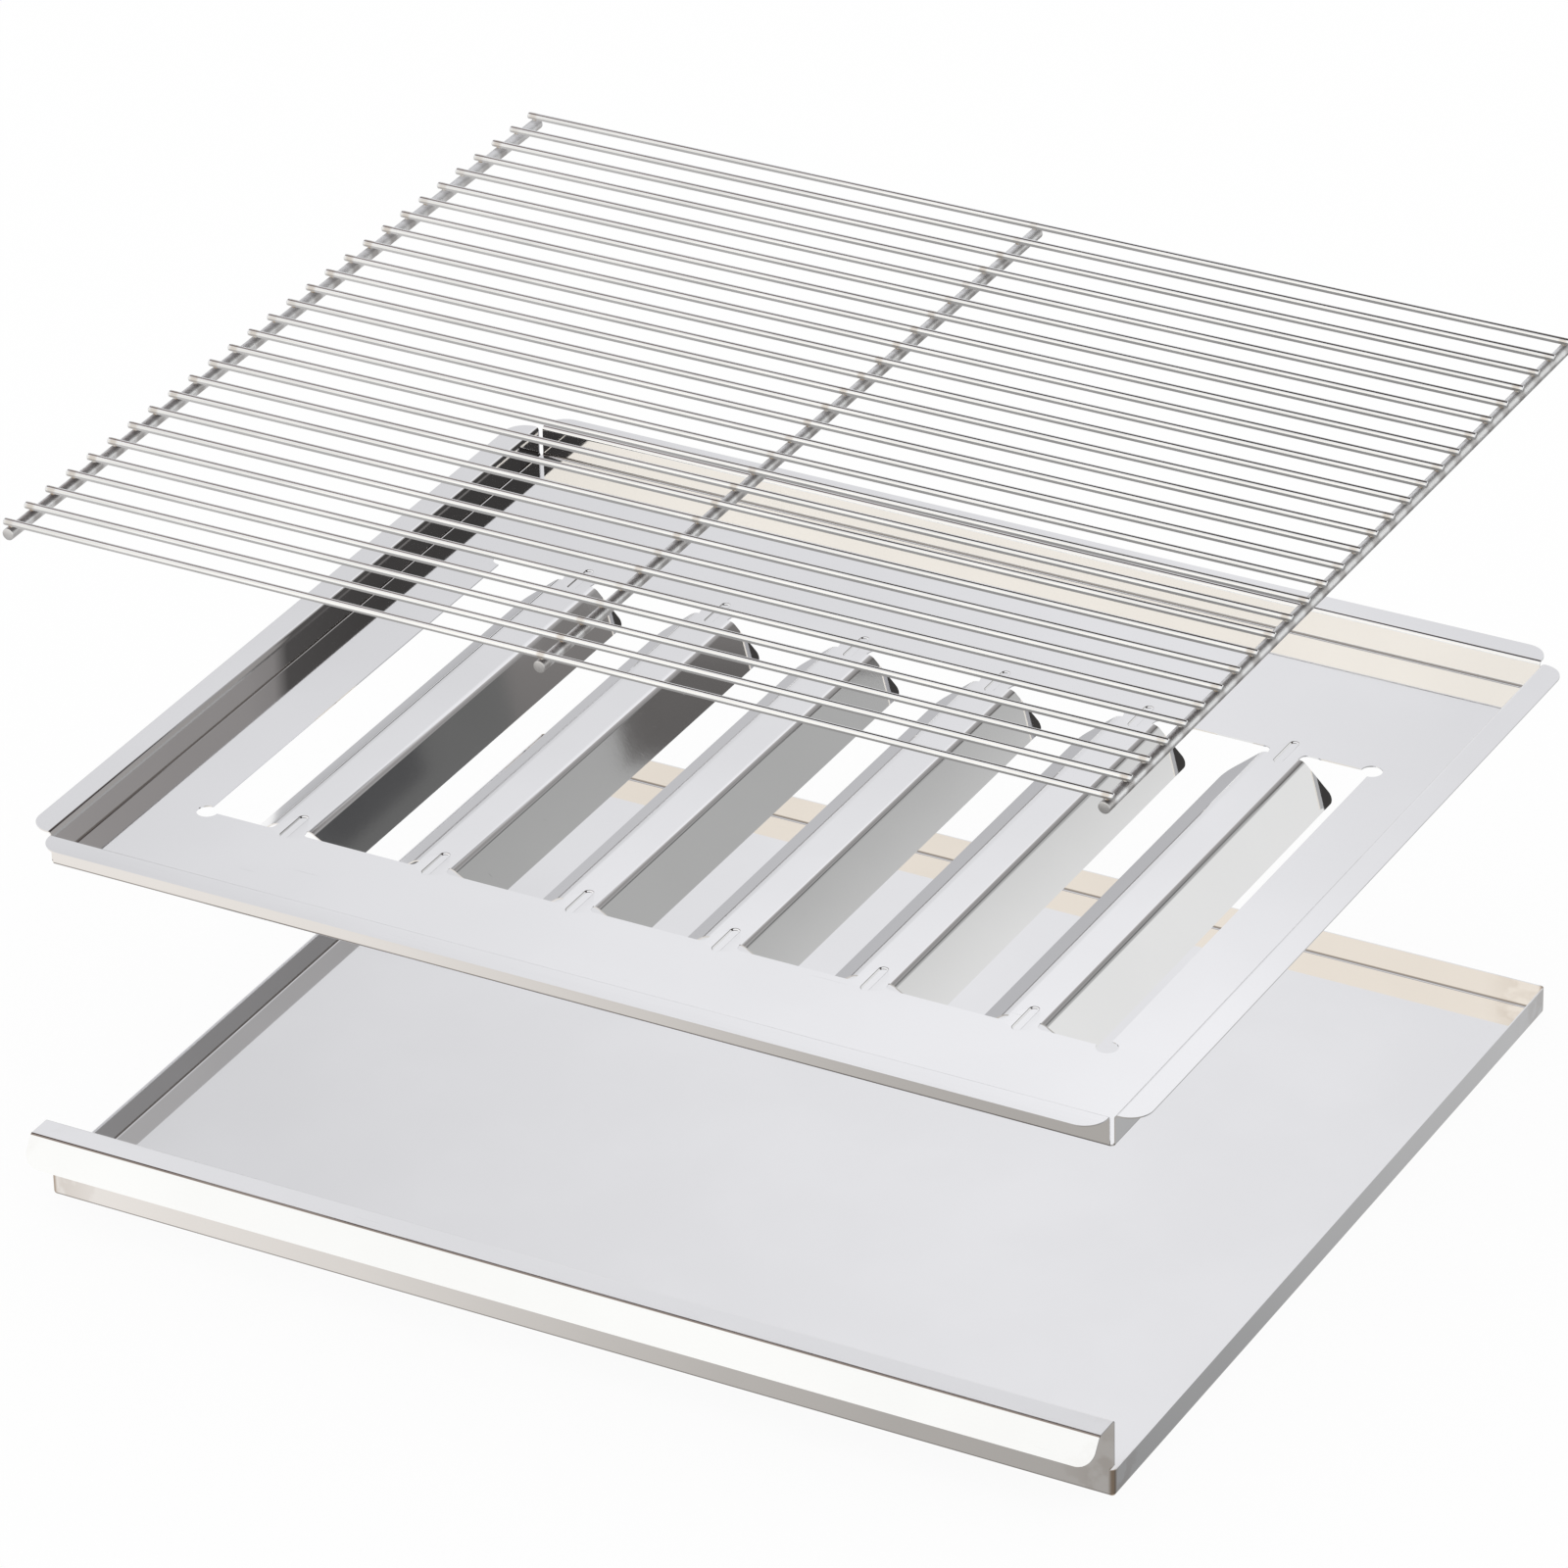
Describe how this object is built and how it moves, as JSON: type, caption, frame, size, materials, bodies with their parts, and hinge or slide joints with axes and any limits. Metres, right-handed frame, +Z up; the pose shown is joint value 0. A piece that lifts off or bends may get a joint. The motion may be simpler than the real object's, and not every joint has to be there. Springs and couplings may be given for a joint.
{
  "type": "gas grill grate, deflector pan and drip tray",
  "caption": "Loose steel inserts of a counter-top gas grill, lifted apart: wire cooking grate, flanged pan with folded flame deflectors, and pull-out drip tray with a handle lip.",
  "frame": {"origin": "on the floor, below the middle of the whole stack's box", "axes": "+X to the right along the front edges, +Y from the tray's handle to the back, +Z up"},
  "size_m": [0.689, 0.6002, 0.432],
  "materials": {
    "polished_wire": "electropolished stainless wire",
    "polished_sheet": "bright rolled stainless sheet with faint handling scratches"
  },
  "bodies": {
    "deflector_pan": {"deflector_pan": "polished_sheet"},
    "drip_tray": {"drip_tray": "polished_sheet"},
    "cooking_grate": {"cross_rod_left": "polished_wire", "cross_rod_middle": "polished_wire", "cross_rod_right": "polished_wire", "grate_rod_01": "polished_wire", "grate_rod_02": "polished_wire", "grate_rod_03": "polished_wire", "grate_rod_04": "polished_wire", "grate_rod_05": "polished_wire", "grate_rod_06": "polished_wire", "grate_rod_07": "polished_wire", "grate_rod_08": "polished_wire", "grate_rod_09": "polished_wire", "grate_rod_10": "polished_wire", "grate_rod_11": "polished_wire", "grate_rod_12": "polished_wire", "grate_rod_13": "polished_wire", "grate_rod_14": "polished_wire", "grate_rod_15": "polished_wire", "grate_rod_16": "polished_wire", "grate_rod_17": "polished_wire", "grate_rod_18": "polished_wire", "grate_rod_19": "polished_wire", "grate_rod_20": "polished_wire", "grate_rod_21": "polished_wire", "grate_rod_22": "polished_wire", "grate_rod_23": "polished_wire", "grate_rod_24": "polished_wire", "grate_rod_25": "polished_wire", "grate_rod_26": "polished_wire", "grate_rod_27": "polished_wire", "grate_rod_28": "polished_wire"}
  },
  "joints": [
    {"name": "tray_pull", "type": "slide", "parent": "deflector_pan", "child": "drip_tray", "axis": [0, -1, 0], "range_m": [0, 0.45]},
    {"name": "grate_lift", "type": "slide", "parent": "deflector_pan", "child": "cooking_grate", "axis": [0, 0, 1], "range_m": [-0.1897, 0]}
  ]
}
